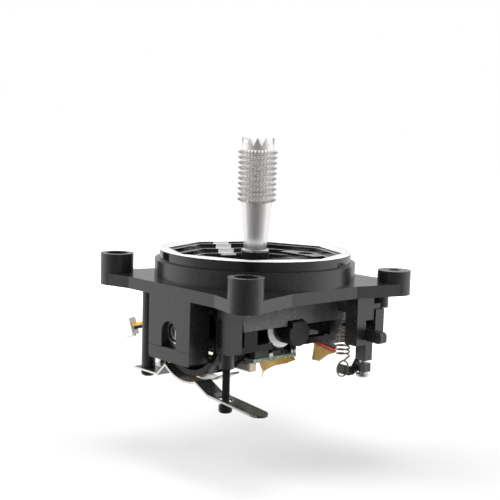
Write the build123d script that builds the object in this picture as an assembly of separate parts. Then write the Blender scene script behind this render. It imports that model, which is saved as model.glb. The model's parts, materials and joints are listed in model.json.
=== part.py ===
from build123d import *
import math
import os

# Radio transmitter gimbal, millimetres.
# Origin: on the ring's axis at the underside of the mounting plate. +Z up through the stick.
# The outer (pan) axis runs along Y and the inner (tilt) axis along X, crossing at the pivot.

# Mounting plate and corner posts
post_spacing = 50.0
post_diameter = 8.4
post_hole = 3.0
tall_post_top = 8.0
short_post_top = 6.1
post_recess = 5.5
post_recess_depth = 2.4
plate_thickness = 3.0
plate_reach_y = 27.2
plate_reach_x = 25.5
plate_flat_y = 16.75
plate_flat_x = 11.0
ear_overhang = 4.0
ear_boss_x = 20.6
ear_boss_y = 25.3
ear_boss_diameter = 4.0
ear_boss_bottom = -4.0

# Collar and bezel ring
collar_top = 7.6
spigot_depth = 1.3
bezel_diameter = 48.56
collar_diameter = bezel_diameter + 2.34
plate_opening = bezel_diameter - 4.36
bezel_rim_wall = 1.48
bezel_top = 10.3
bezel_fit = 0.1
octagon_radius = bezel_diameter / 2 - bezel_rim_wall
terrace_tread = 1.1
terrace_riser = 1.15
terrace_count = 3
rim_chamfer = 0.7
lip_underside = 6.2
pad_top = 8.0
pad_thickness = 0.45
pad_inner_y = 14.9
pad_half_width = 6.5
pad_hole = 4.3
pad_hole_y = 18.0

# Dome
dome_radius = 15.8
dome_wall = 1.4
dome_half_length = 17.0
dome_edge = 1.6
dome_end_band = 1.4
slot_half_length = 11.7
slot_half_width = 3.85
dome_notch_half = 2.7
dome_notch_top = 2.9

# Pivot, bearings and their blocks
pivot_z = -8.6
bearing_outer = 7.0
bearing_bore = 3.0
bearing_width = 3.0
race_wall = 0.65
shield_gap = 0.08
running_clearance = 0.05
seat_clearance = 0.02
block_half_width = 8.0
block_inner_y = dome_half_length + 4.2
block_bottom = -12.35
block_skin = 1.1
window_radius = 2.8
retainer_height = 3.3
retainer_edge = 0.15
retainer_screw = 1.6
retainer_screw_x = 5.9
retainer_screw_grip = 4.5

# Cradle inside the dome, with its drum and cam
drum_radius = 11.3
drum_wall = 1.5
drum_front_y = 0.6 - block_inner_y
drum_back_y = -11.0
web_y = 13.5
drum_groove_y = -16.6
web_thickness = 1.4
hub_radius = 3.3
hub_nose_radius = 2.1
rail_inner_x = 11.5
rail_outer_x = 13.4
rail_bottom = dome_edge
rail_top = 4.6
end_bar_top = 1.3
end_bar_bottom = -2.2
tie_inner_x = 8.0
low_bar_inner_x = 11.3
low_bar_outer_x = 13.5
low_bar_top = -2.6
low_bar_bottom = -4.2
low_bar_front_y = -5.5
low_bar_back_y = 3.9
foot_outer_x = 15.5
foot_length = 4.2
lug_radius = 3.4
lug_neck = 2.4
lug_flat = 1.3
lug_outer_x = 17.2
bush_outer_x = 15.5
cam_height = 4.0
cam_flat = 3.0
cam_width = 2.8
ratchet_teeth = 48
ratchet_depth = 0.4

# Stick carrier and tilt shaft
tilt_shaft_diameter = 3.0
bush_wall = 0.6
carrier_half_width = 6.4
carrier_radius = 5.2
cover_radius = 13.2
cover_thickness = 0.7
cover_half_width = 5.0
cover_angle = 60.0
neck_diameter = 5.0
collar_neck_diameter = 7.0
collar_neck_bottom = 7.6
collar_neck_top = 9.6
magnet_holder_radius = 4.9
magnet_holder_x = 7.7
magnet_holder_width = 3.2
magnet_diameter = 3.0
magnet_thickness = 1.2

# Stick
flange_diameter = 7.0
flange_height = 0.5
stem_bottom_diameter = 5.7
stem_top_diameter = 8.05
stem_top = 22.2
knurl_outer = 10.2
knurl_root = 8.6
knurl_pitch = 1.31
lock_rows = 2
tip_rows = 8
grip_gap = 0.06
crown_height = 3.3
crown_diameter = 8.1
crown_teeth = 8
core_diameter = 3.0

# Friction straps under the drum
strap_width = 5.0
strap_thickness = 0.5
strap_clearance = 1.2
strap_y = -19.5
ratchet_strap_y = -13.8
strap_post_x = -18.2
ratchet_post_x = -18.8
strap_post_diameter = 3.6
strap_level = -12.7
strap_end_x = -21.0
strap_tip_x = 26.5
strap_tip_drop = -3.3
strap_kink_x = 8.6
pan_head_diameter = 3.7
pan_head_height = 1.6
strap_screw_diameter = 2.0
standoff_diameter = 3.4
standoff_top = -8.9

# Column that holds the strap tension screw
column_x = 13.9
column_y = -19.95
column_width_x = 4.6
column_width_y = 4.1
column_bottom = -12.0
column_slot_width = 2.1
column_slot_height = 7.1
column_slot_foot = 1.2
column_slot_depth = 0.8
column_boss_diameter = 3.5
column_boss_length = 3.7
tension_screw_x = 13.2
column_slot_x = tension_screw_x - 0.45
tension_head_diameter = 3.3
tension_head_height = 1.8
tension_screw_end = -24.6

# Centering lever, its spring and the spring's slider
lever_y = dome_half_length + 2.3
lever_width = 2.8
lever_height = 2.3
lever_gap = 0.3
lever_pivot_x = -19.0
lever_pin_diameter = 2.0
lever_eye_radius = 2.3
lever_arm_x = 19.1
lever_arm_width = 3.2
lever_end_x = 25.3
lever_end_width = 3.1
lever_end_bottom = -10.1
lever_end_top = -3.4
spring_x = 19.2
spring_y = 13.6
spring_mean_radius = 1.6
spring_wire = 0.45
spring_pitch = 1.05
spring_turns = 7
spring_top = -8.4
spring_loop_z = -19.0
spring_loop_radius = 2.0
guide_x = 23.5
guide_y = 14.45
guide_width = 4.0
guide_depth = 5.9
slider_top = -16.9
slider_height = 2.2
slider_arm_bottom = -20.25
slider_arm_height = 2.2
slider_arm_width = 1.0
slider_wall_x = 21.8
slider_block_x = 25.2
slider_block_y0 = 15.1
slider_block_y1 = 17.4
slider_travel_up = 0.6
slider_travel_down = 0.4
guide_foot = slider_top + slider_travel_up + 0.2
slider_screw_diameter = 1.8
slider_screw_head = 3.2
slider_screw_x = 23.6
slider_screw_y = 16.2
slider_screw_top = -12.6
guide_foot_y = 14.9
guide_foot_x = 22.2
finger_width = 2.2
finger_height = 2.8
finger_y = 16.1
finger_tip_x = 30.3
finger_z = -9.2
finger_slope = 0.6
finger_window_top = -5.8
finger_window_bottom = -11.15

# Sensor board under the cradle
board_x0 = -11.0
board_x1 = 12.0
board_y0 = -10.4
board_y1 = 6.5
board_top = -6.5
board_thickness = 0.9
board_leg_x = 8.4
board_leg_front_y = -7.6
board_leg_back_y = 5.3
board_leg_top = -3.0
board_leg = 2.2
board_screw_diameter = 1.4

# Parts on the board
connector_x0 = 5.4
connector_length = 6.0
connector_y0 = -10.9
connector_width = 2.0
connector_height = 2.2
socket_x0 = 9.7
socket_length = 2.0
socket_y0 = -9.6
socket_width = 4.4
socket_height = 2.1
chip_height = 1.3
chip_x0 = 8.6
chip_y0 = -3.6
chip_size = 2.8
small_chip_y0 = 0.8
small_chip_width = 1.6
small_chip_height = 0.8

# Leads and plug
lead_diameter = 0.8
plug_length = 4.6
plug_width = 3.0
plug_height = 4.6

# Route of each lead, from the board connector to the plug
red_route = [(5.35, -9.4, -16.9), (-0.2, -9.4, -16.9), (-6.2, -9.55, -17.6), (-12.0, -9.5, -16.3),
             (-17.2, -9.4, -13.4), (-21.8, -11.6, -11.4), (-24.9, -15.2, -10.9), (-28.56, -16.43, -12.2)]
yellow_route = [(5.35, -10.4, -16.9), (-0.2, -10.4, -16.9), (-6.2, -10.6, -17.6), (-12.0, -10.5, -16.3),
                (-16.8, -10.4, -13.4), (-21.2, -12.4, -11.4), (-24.3, -16.0, -10.9), (-28.24, -17.37, -12.2)]
black_route = [(5.35, -9.9, -17.75), (-0.2, -9.9, -17.75), (-6.2, -10.05, -18.5), (-12.0, -10.0, -17.25),
               (-17.0, -9.9, -14.3), (-21.5, -12.0, -12.3), (-24.6, -15.6, -11.8), (-28.14, -16.81, -13.0)]
plug_face = (-28.4, -16.9, -12.45)
plug_axis = (0.9, 0.31, 0.31)

half_spacing = post_spacing / 2
drum_inner = drum_radius - drum_wall
bearing_radius = bearing_outer / 2
shaft_radius = bearing_bore / 2
strap_inner_radius = drum_radius + strap_clearance
bearing_face_y = block_inner_y + block_skin
board_z = pivot_z + board_top
retainer_screw_y = (block_inner_y + plate_reach_y) / 2


def block(x0, x1, y0, y1, z0, z1):
    size = Box(x1 - x0, y1 - y0, z1 - z0)
    return Pos((x0 + x1) / 2, (y0 + y1) / 2, (z0 + z1) / 2) * size


def rod_x(radius, x0, x1, y=0.0, z=pivot_z):
    return Pos((x0 + x1) / 2, y, z) * Rot(0, 90, 0) * Cylinder(radius, x1 - x0)


def rod_y(radius, y0, y1, x=0.0, z=pivot_z):
    return Pos(x, (y0 + y1) / 2, z) * Rot(90, 0, 0) * Cylinder(radius, y1 - y0)


def rod_z(radius, z0, z1, x=0.0, y=0.0):
    return Pos(x, y, (z0 + z1) / 2) * Cylinder(radius, z1 - z0)


def profile_y(points, y0, y1):
    """A closed outline of (x, z) points, extruded from y0 to y1."""
    face = make_face(Polyline([(x, y0, z) for x, z in points], close=True))
    return extrude(face, amount=y1 - y0, dir=(0, 1, 0))


def profile_x(points, x0, x1):
    """A closed outline of (y, z) points, extruded from x0 to x1."""
    face = make_face(Polyline([(x0, y, z) for y, z in points], close=True))
    return extrude(face, amount=x1 - x0, dir=(1, 0, 0))


def save(node, shape):
    shape.label = node
    export_step(shape, "parts/" + node + ".step")


def octagon(radius, z0, z1):
    """An octagon prism with a corner on +X, radius measured to the corners."""
    face = Pos(0, 0, z0) * RegularPolygon(radius, 8)
    return extrude(face, amount=z1 - z0)


def corner_post(x, y, top):
    return rod_z(post_diameter / 2, 0, top, x, y)


def plate_outline():
    """Quarter outline with its ear, mirrored round to the full plate."""
    tip = half_spacing + ear_overhang
    inner = half_spacing - 1
    quarter = [(plate_flat_y, plate_reach_y), (inner, tip), (tip, inner), (plate_reach_x, plate_flat_x)]
    right_back = quarter
    right_front = [(x, -y) for x, y in reversed(quarter)]
    left_front = [(-x, -y) for x, y in quarter]
    left_back = [(-x, y) for x, y in reversed(quarter)]
    return right_back + right_front + left_front + left_back


def bearing_block():
    """The block on the -Y side, with its open-bottomed bearing seat."""
    solid = block(-block_half_width, block_half_width, -plate_reach_y, -block_inner_y, block_bottom, 0)
    seat = bearing_radius + seat_clearance
    seat_back = bearing_face_y + bearing_width
    pocket = rod_y(seat, -seat_back, -bearing_face_y)
    pocket += block(-seat, seat, -seat_back, -bearing_face_y, block_bottom - 1, pivot_z)
    window = rod_y(window_radius, -plate_reach_y - 1, -block_inner_y + 1)
    window += block(-window_radius, window_radius, -plate_reach_y - 1, -block_inner_y + 1,
                    block_bottom - 1, pivot_z)
    solid -= pocket + window
    for side in (-1, 1):
        x = side * retainer_screw_x
        solid -= rod_z(retainer_screw / 2, block_bottom, block_bottom + retainer_screw_grip + 0.5, x, -retainer_screw_y)
    return solid


def retainer():
    """The cap that closes the -Y bearing seat from below."""
    bottom = block_bottom - retainer_height
    solid = block(-block_half_width, block_half_width, -plate_reach_y, -block_inner_y, bottom, block_bottom)
    edge = solid.edges().filter_by(Axis.Y).group_by(Axis.Z)[0]
    solid = chamfer(edge, 0.6)
    front = solid.edges().filter_by(Axis.X).group_by(Axis.Z)[-1].group_by(Axis.Y)[0]
    solid = chamfer(front, retainer_edge)
    seat = bearing_radius + seat_clearance
    saddle = block(-seat + 0.1, seat - 0.1, -bearing_face_y - bearing_width + 0.1, -bearing_face_y - 0.1,
                   block_bottom - 0.1, block_bottom + 0.8)
    solid += saddle
    solid -= rod_y(seat, -bearing_face_y - bearing_width, -bearing_face_y)
    for side in (-1, 1):
        x = side * retainer_screw_x
        y = -retainer_screw_y
        solid -= rod_z(retainer_screw / 2 + seat_clearance, bottom, block_bottom, x, y)
        solid -= rod_z(1.6, bottom, bottom + 1.2, x, y)
    return solid


def retainer_screws():
    bottom = block_bottom - retainer_height
    screws = []
    for end in (-1, 1):
        for side in (-1, 1):
            x = side * retainer_screw_x
            y = end * retainer_screw_y
            shank = rod_z(retainer_screw / 2 - seat_clearance, bottom + 1.2, block_bottom + retainer_screw_grip, x, y)
            head = rod_z(1.45, bottom + 0.1, bottom + 1.2, x, y)
            screws.append(shank + head - rod_z(0.55, bottom, bottom + 0.7, x, y))
    return Compound(screws)


def strap_column():
    """Column for the strap's tension screw, slotted on its -Y face."""
    hx = column_width_x / 2
    hy = column_width_y / 2
    solid = block(column_x - hx, column_x + hx, column_y - hy, column_y + hy, column_bottom, 0)
    slot_middle = column_bottom + column_slot_foot + column_slot_height / 2
    slot_half = column_slot_height / 2 - column_slot_width / 2
    sx = column_slot_x
    face_y = column_y - hy
    floor_y = face_y + column_slot_depth
    solid -= block(sx - column_slot_width / 2, sx + column_slot_width / 2, face_y - 1, floor_y,
                   slot_middle - slot_half, slot_middle + slot_half)
    for end in (-1, 1):
        z = slot_middle + end * slot_half
        solid -= rod_y(column_slot_width / 2, face_y - 1, floor_y, sx, z)
    boss_bottom = column_bottom - column_boss_length
    solid += rod_z(column_boss_diameter / 2, boss_bottom, column_bottom, tension_screw_x, column_y)
    bore = strap_screw_diameter / 2 + seat_clearance
    return solid - rod_z(bore, boss_bottom, column_bottom + 3.5, tension_screw_x, column_y)


def strap_posts():
    level = pivot_z + strap_level
    bore = strap_screw_diameter / 2 + seat_clearance
    front = rod_z(strap_post_diameter / 2, level, 0, strap_post_x, strap_y)
    front -= rod_z(bore, level, level + 6, strap_post_x, strap_y)
    top = pivot_z + standoff_top
    back = rod_z(strap_post_diameter / 2, top, 0, ratchet_post_x, ratchet_strap_y)
    back -= rod_z(bore, top, top + 4, ratchet_post_x, ratchet_strap_y)
    return front + back


def spring_column():
    """Column on the +X side: window for the lever's finger, guide and screw hole below."""
    hx = guide_width / 2
    hy = guide_depth / 2
    solid = block(guide_x - hx, guide_x + hx, guide_y - hy, guide_y + hy, column_bottom, 0)
    solid += block(guide_foot_x, guide_x + hx, guide_foot_y, guide_y + hy, guide_foot, column_bottom)
    window_half = finger_width / 2 + 0.35
    solid -= block(guide_x - hx - 1, guide_x + hx + 1, finger_y - window_half, finger_y + window_half,
                   finger_window_bottom, finger_window_top)
    bore = slider_screw_diameter / 2 + running_clearance
    return solid - rod_z(bore, guide_foot - 1, slider_screw_top + 0.3, slider_screw_x, slider_screw_y)


def lever_bracket():
    z = pivot_z + cam_height + lever_gap + lever_height / 2
    y0 = lever_y + lever_width / 2 + 0.4
    solid = block(lever_pivot_x - 2.4, lever_pivot_x + 2.4, y0, y0 + 2.8, z - 2.0, 0)
    solid += rod_y(2.4, y0, y0 + 2.8, lever_pivot_x, z - 0.6)
    return solid - rod_y(lever_pin_diameter / 2, y0 - 1, y0 + 2.2, lever_pivot_x, z)


def housing():
    plate = extrude(make_face(Polyline(plate_outline(), close=True)), amount=plate_thickness)
    solid = plate + rod_z(collar_diameter / 2, 0, collar_top)
    for x, y, top in post_places():
        solid += corner_post(x, y, top)
    solid -= rod_z(plate_opening / 2, -1, collar_top + 1)
    solid -= rod_z(bezel_diameter / 2 - 0.7 + bezel_fit, collar_top - spigot_depth, collar_top + 1)
    for x, y, top in post_places():
        solid -= rod_z(post_hole / 2, -1, top + 1, x, y)
        if top == tall_post_top:
            solid -= rod_z(post_recess / 2, top - post_recess_depth, top + 1, x, y)
    wall = bearing_block()
    solid += wall + mirror(wall, Plane.XZ)
    solid += strap_column() + strap_posts() + spring_column() + lever_bracket()
    solid += rod_z(ear_boss_diameter / 2, ear_boss_bottom, 0, ear_boss_x, ear_boss_y)
    return solid


def post_places():
    h = half_spacing
    return [(-h, -h, tall_post_top), (h, -h, tall_post_top), (h, h, short_post_top), (-h, h, short_post_top)]


def bezel_ring():
    """Ring with an eight-sided stepped recess and a screw pad at each end of the slot."""
    solid = rod_z(bezel_diameter / 2, collar_top, bezel_top)
    solid = chamfer(solid.edges().group_by(Axis.Z)[-1], 0.3)
    solid += rod_z(bezel_diameter / 2 - 0.7, collar_top - spigot_depth, collar_top)
    for step in range(terrace_count):
        radius = octagon_radius - step * terrace_tread
        floor = bezel_top - (step + 1) * terrace_riser
        solid -= octagon(radius, floor, bezel_top + 1)
    lip_radius = octagon_radius - terrace_count * terrace_tread
    solid -= octagon(lip_radius, collar_top - spigot_depth - 1, bezel_top)
    solid -= rod_z(plate_opening / 2, collar_top - spigot_depth - 1, lip_underside)
    flare = Pos(0, 0, bezel_top - rim_chamfer) * RegularPolygon(octagon_radius, 8)
    mouth = Pos(0, 0, bezel_top) * RegularPolygon(octagon_radius + rim_chamfer, 8)
    solid -= loft([flare, mouth])
    inside = octagon(octagon_radius - 0.1, pad_top - pad_thickness, pad_top)
    for end in (-1, 1):
        y0 = min(end * pad_inner_y, end * bezel_diameter / 2)
        y1 = max(end * pad_inner_y, end * bezel_diameter / 2)
        pad = block(-pad_half_width, pad_half_width, y0, y1, pad_top - pad_thickness, pad_top)
        solid += pad & inside
        solid -= rod_z(pad_hole / 2, collar_top - spigot_depth - 1, pad_top + 1, 0, end * pad_hole_y)
    return solid


def bearing_races(y0, inner):
    """One ring of a shielded ball bearing whose near face is at y0."""
    y1 = y0 + bearing_width
    if inner:
        ring = rod_y(shaft_radius + race_wall, y0, y1)
        return ring - rod_y(shaft_radius, y0 - 1, y1 + 1)
    shield = 0.3
    ring = rod_y(bearing_radius, y0, y1)
    ring -= rod_y(shaft_radius + race_wall + shield_gap, y0 - 1, y1 + 1)
    return ring - rod_y(bearing_radius - race_wall, y0 + shield, y1 - shield)


def dome():
    inner = dome_radius - dome_wall
    length = dome_half_length
    solid = rod_y(dome_radius, -length, length) - rod_y(inner, -length - 1, length + 1)
    for end in (-1, 1):
        y0 = min(end * length, end * (length - dome_end_band))
        band = rod_y(inner + 0.1, y0, y0 + dome_end_band)
        solid += band - rod_y(drum_radius + 0.3, y0 - 1, y0 + dome_end_band + 1)
    reach = dome_radius + 1
    solid -= block(-reach, reach, -length - 1, length + 1, pivot_z - reach, pivot_z + dome_edge)
    notch_top = pivot_z + dome_notch_top
    solid -= block(-reach, reach, -dome_notch_half, dome_notch_half, pivot_z, notch_top)
    slot = SlotOverall(2 * slot_half_length, 2 * slot_half_width, rotation=90)
    solid -= extrude(slot, amount=reach)
    return solid


def drum():
    """Drum under the friction straps: a smooth track, a groove and a toothed track."""
    solid = rod_y(drum_radius, drum_front_y, drum_groove_y)
    solid += rod_y(drum_radius - ratchet_depth, drum_groove_y, drum_back_y)
    tooth_width = 2 * math.pi * drum_radius / ratchet_teeth
    tooth = [(-tooth_width * 0.45, drum_radius - 0.6), (tooth_width * 0.45, drum_radius - 0.6),
             (0, drum_radius)]
    for n in range(ratchet_teeth // 3):
        turn = 180 - 60 + n * 360 / ratchet_teeth
        one = profile_y(tooth, drum_groove_y + 0.6, drum_back_y)
        solid += Pos(0, 0, pivot_z) * Rot(0, turn, 0) * one
    solid -= rod_y(drum_inner, drum_front_y - 1, drum_back_y + 1)
    return solid + rod_y(drum_inner + 0.2, -web_y - web_thickness, -web_y)


def cradle():
    """Frame under the dome: two rails, end webs, drum, cam and the tilt bearings' lugs."""
    solid = drum()
    web_back = -web_y
    web_front = -web_y - web_thickness
    hub = block_inner_y - 0.4
    nose = bearing_face_y
    solid += rod_y(hub_radius, -hub, web_back)
    solid += rod_y(hub_nose_radius, -nose, -hub) + rod_y(hub_nose_radius, hub, nose)
    for n in range(6):
        x = 6.5 * math.cos(math.radians(60 * n + 30))
        z = pivot_z + 6.5 * math.sin(math.radians(60 * n + 30))
        solid -= rod_y(2.1, web_front - 1, web_back + 1, x, z)
    top = pivot_z + rail_top
    bottom = pivot_z + end_bar_bottom
    back_y = web_y + web_thickness
    bar_low = pivot_z + low_bar_bottom
    bar_top = pivot_z + low_bar_top
    foot_y = dome_half_length - 0.4
    for side in (-1, 1):
        x0 = min(side * rail_inner_x, side * rail_outer_x)
        x1 = max(side * rail_inner_x, side * rail_outer_x)
        solid += block(x0, x1, web_front, back_y, pivot_z + rail_bottom, top)
        ix = min(side * tie_inner_x, side * rail_outer_x)
        ox = max(side * tie_inner_x, side * rail_outer_x)
        solid += block(ix, ox, web_front, web_back, bottom, top)
        solid += block(ix, ox, -web_back, back_y, bottom, top)
        fx0 = min(side * rail_inner_x, side * foot_outer_x)
        fx1 = max(side * rail_inner_x, side * foot_outer_x)
        edge = pivot_z + dome_edge
        solid += block(fx0, fx1, -foot_y, foot_length - foot_y, bottom, edge)
        solid += block(fx0, fx1, foot_y - foot_length, foot_y, bottom, edge)
        bx0 = min(side * low_bar_inner_x, side * low_bar_outer_x)
        bx1 = max(side * low_bar_inner_x, side * low_bar_outer_x)
        solid += block(bx0, bx1, -foot_y, low_bar_front_y, bar_low, bar_top)
        solid += block(bx0, bx1, low_bar_back_y, foot_y, bar_low, bar_top)
        solid += block(bx0, bx1, -foot_y, foot_length - foot_y, bar_low, edge)
        solid += block(bx0, bx1, foot_y - foot_length, foot_y, bar_low, edge)
        lug_out = side * lug_outer_x
        lx0 = min(side * rail_inner_x, lug_out)
        lx1 = max(side * rail_inner_x, lug_out)
        lug = rod_x(lug_radius, lx0, lx1)
        lug -= block(-30, 30, -10, 10, pivot_z + lug_flat, pivot_z + 10)
        solid += lug + block(lx0, lx1, -lug_neck, lug_neck, pivot_z, pivot_z + dome_notch_top - 0.3)
    solid += block(-rail_outer_x, rail_outer_x, web_y, back_y, bottom, pivot_z + end_bar_top)
    solid += rod_y(hub_radius, web_y, hub)
    cam = rod_y(math.hypot(cam_height, cam_flat / 2), lever_y - cam_width / 2, lever_y + cam_width / 2)
    cam -= block(-9, 9, 0, 30, pivot_z + cam_height, pivot_z + 9)
    solid += cam
    for y in (board_leg_front_y, board_leg_back_y):
        for side in (-1, 1):
            x = side * board_leg_x
            leg = block(x - board_leg / 2, x + board_leg / 2, y - board_leg / 2, y + board_leg / 2,
                        board_z, pivot_z + board_leg_top)
            brace = block(min(x, side * low_bar_outer_x), max(x, side * low_bar_outer_x),
                          y - board_leg / 2, y + board_leg / 2, bar_low, pivot_z + board_leg_top)
            solid += leg + brace
            solid -= rod_z(board_screw_diameter / 2, board_z - 1, board_z + 3, x, y)
    bore = tilt_shaft_diameter / 2 + bush_wall
    solid -= rod_x(bore, -bush_outer_x, bush_outer_x)
    shaft_end = web_y + 0.8
    for end in (-1, 1):
        y0 = min(end * shaft_end, end * (nose + 1))
        y1 = max(end * shaft_end, end * (nose + 1))
        solid -= rod_y(shaft_radius, y0, y1)
    return solid


def pivot_shafts():
    start = web_y + 0.8
    end = bearing_face_y + bearing_width - 0.2
    shafts = [rod_y(shaft_radius, -end, -start), rod_y(shaft_radius, start, end)]
    return Compound([chamfer(s.edges().filter_by(GeomType.CIRCLE), 0.2) for s in shafts])


def tilt_bushes():
    outer = tilt_shaft_diameter / 2 + bush_wall
    inner = tilt_shaft_diameter / 2 + running_clearance
    bushes = []
    for side in (-1, 1):
        x0 = min(side * rail_inner_x, side * bush_outer_x)
        x1 = max(side * rail_inner_x, side * bush_outer_x)
        bushes.append(rod_x(outer, x0, x1) - rod_x(inner, x0 - 1, x1 + 1))
    return Compound(bushes)


def tilt_shaft():
    end = bush_outer_x - 0.2
    solid = rod_x(tilt_shaft_diameter / 2, -end, end)
    return chamfer(solid.edges().filter_by(GeomType.CIRCLE), 0.2)


def stick_carrier():
    """Hub on the tilt shaft, curved slot cover and the black neck through the slot."""
    solid = rod_x(carrier_radius, -carrier_half_width, carrier_half_width)
    solid += rod_z(neck_diameter / 2, pivot_z, collar_neck_bottom)
    solid += rod_z(collar_neck_diameter / 2, collar_neck_bottom, collar_neck_top)
    cover = rod_x(cover_radius, -cover_half_width, cover_half_width)
    cover -= rod_x(cover_radius - cover_thickness, -cover_half_width - 1, cover_half_width + 1)
    width = cover_radius * math.sin(math.radians(cover_angle))
    keep = block(-20, 20, -width, width, pivot_z, pivot_z + 30)
    solid += cover & keep
    for end in (-1, 1):
        rib_y = end * width * 0.5
        rib = block(-0.8, 0.8, min(0, 1.5 * rib_y), max(0, 1.5 * rib_y), pivot_z + 1,
                    pivot_z + cover_radius - 0.3)
        solid += rib & rod_x(cover_radius - 0.3, -2, 2)
    solid -= rod_x(tilt_shaft_diameter / 2, -carrier_half_width - 1, carrier_half_width + 1)
    return solid - rod_z(core_diameter / 2, pivot_z + 6, collar_neck_top + 1)


def magnet_holder():
    x0 = magnet_holder_x
    x1 = magnet_holder_x + magnet_holder_width
    solid = rod_x(magnet_holder_radius, x0, x1)
    solid = chamfer(solid.edges().filter_by(GeomType.CIRCLE), 0.25)
    solid += rod_x(2.4, carrier_half_width, x0)
    solid -= rod_x(tilt_shaft_diameter / 2, carrier_half_width - 1, x1 + 1)
    x = (x0 + x1) / 2
    bottom = pivot_z - magnet_holder_radius
    return solid - rod_z(magnet_diameter / 2, bottom - 1, bottom + magnet_thickness + 0.4, x, 0)


def tilt_magnet():
    x = magnet_holder_x + magnet_holder_width / 2
    bottom = pivot_z - magnet_holder_radius + 0.4
    return rod_z(magnet_diameter / 2, bottom, bottom + magnet_thickness, x, 0)


def tilt_centering_spring():
    """Torsion spring on the carrier's -X side, its two legs round the cradle's rail."""
    radius = 2.6
    wire = 0.5
    turns = 5
    length = turns * (wire + 0.05)
    start = -carrier_half_width - 0.4 - length
    path = Pos(start, 0, pivot_z) * Rot(0, 90, 0) * Helix(pitch=wire + 0.05, height=length, radius=radius)
    ring = Plane(origin=path @ 0, z_dir=path % 0) * RegularPolygon(wire / 2, 8)
    return sweep(ring, path=path)


def stem():
    """Tapered stem with its flange; the threaded core passes through."""
    base = collar_neck_top
    outline = [(core_diameter / 2, base), (flange_diameter / 2, base),
               (flange_diameter / 2, base + flange_height), (stem_bottom_diameter / 2, base + flange_height),
               (stem_top_diameter / 2, stem_top), (core_diameter / 2, stem_top)]
    return revolve_outline(outline)


def revolve_outline(points):
    """A solid of revolution about Z from (radius, z) points."""
    face = make_face(Polyline([(r, 0, z) for r, z in points], close=True))
    return revolve(face, axis=Axis.Z)


def knurl_outline(bottom, rows, bore):
    points = [(bore, bottom)]
    for row in range(rows):
        z = bottom + row * knurl_pitch
        points += [(knurl_root / 2, z), (knurl_outer / 2, z + knurl_pitch / 2)]
    top = bottom + rows * knurl_pitch
    return points + [(knurl_root / 2, top)], top


def lock_grip():
    """Lower knurled ring that locks the tip's height."""
    bore = core_diameter / 2 + running_clearance
    points, top = knurl_outline(stem_top, lock_rows, bore)
    return revolve_outline(points + [(bore, top)])


def tip_grip():
    """Knurled tip with a crown of teeth; its blind bore leaves room to screw it up and down."""
    bottom = stem_top + lock_rows * knurl_pitch + grip_gap
    bore = core_diameter / 2 + running_clearance
    points, top = knurl_outline(bottom, tip_rows, bore)
    bore_top = top - 1.0
    shoulder = crown_diameter / 2
    points += [(shoulder, top), (shoulder, top + crown_height), (0, top + crown_height), (0, bore_top),
               (bore, bore_top)]
    solid = revolve_outline(points)
    for n in range(crown_teeth // 2):
        cut = [(-1.35, top + crown_height + 1), (1.35, top + crown_height + 1), (0, top + crown_height * 0.3)]
        groove = profile_y(cut, -10, 10)
        solid -= Rot(0, 0, n * 360 / crown_teeth) * groove
    return solid


def stick_core():
    top = stem_top + (lock_rows + tip_rows) * knurl_pitch - 1.6
    return rod_z(core_diameter / 2, pivot_z + 6, top)


def smooth_strap():
    """Thin spring strap: flat foot, arc round the drum, kinked tail with a round end."""
    middle = strap_inner_radius + strap_thickness / 2
    level = pivot_z + strap_level - strap_thickness / 2
    a0 = math.radians(-129)
    a1 = math.radians(-72)
    start = (middle * math.cos(a0), pivot_z + middle * math.sin(a0))
    finish = (middle * math.cos(a1), pivot_z + middle * math.sin(a1))
    kink = pivot_z - middle - 1.6
    tip = pivot_z - middle + strap_tip_drop
    band = strap_band([(strap_end_x, level), (start[0] - 3.2, level), start],
                      (0.0, pivot_z - middle), [finish, (strap_kink_x, kink), (strap_tip_x, tip)],
                      strap_y)
    ends = block(strap_end_x - 1, strap_tip_x - strap_width / 2, strap_y - 5, strap_y + 5, -40, 0)
    ends += rod_z(strap_width / 2, -40, 0, strap_tip_x - strap_width / 2, strap_y)
    band = band & ends
    hole = strap_screw_diameter / 2 + 0.25
    band -= rod_z(hole, -30, -15, strap_post_x, strap_y)
    slot = SlotCenterToCenter(1.6, 2 * hole)
    band -= Pos(tension_screw_x, column_y, -30) * extrude(slot, amount=12)
    return band


def strap_band(foot, low, tail, y):
    """Thin strip of strap_width that follows foot, an arc through low, and tail."""
    half = strap_thickness / 2
    y0 = y - strap_width / 2
    lines = []
    pairs = list(zip(foot[:-1], foot[1:])) + list(zip(tail[:-1], tail[1:]))
    for (x0, z0), (x1, z1) in pairs:
        lines.append(slab(x0, z0, x1, z1, half, y0))
    outer = math.hypot(low[0], low[1] - pivot_z) + half
    ring = rod_y(outer, y0, y0 + strap_width) - rod_y(outer - 2 * half, y0 - 1, y0 + strap_width + 1)
    wedge = [(0, pivot_z), (3 * foot[-1][0], pivot_z + 3 * (foot[-1][1] - pivot_z)),
             (0, pivot_z - 60), (3 * tail[0][0], pivot_z + 3 * (tail[0][1] - pivot_z))]
    solid = ring & profile_y(wedge, y0, y0 + strap_width)
    for line in lines:
        solid += line
    return solid


def slab(x0, z0, x1, z1, half, y0):
    length = math.hypot(x1 - x0, z1 - z0)
    nx = -(z1 - z0) / length * half
    nz = (x1 - x0) / length * half
    ux = (x1 - x0) / length * half * 0.5
    uz = (z1 - z0) / length * half * 0.5
    points = [(x0 + nx - ux, z0 + nz - uz), (x1 + nx + ux, z1 + nz + uz),
              (x1 - nx + ux, z1 - nz + uz), (x0 - nx - ux, z0 - nz - uz)]
    return profile_y(points, y0, y0 + strap_width)


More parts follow.
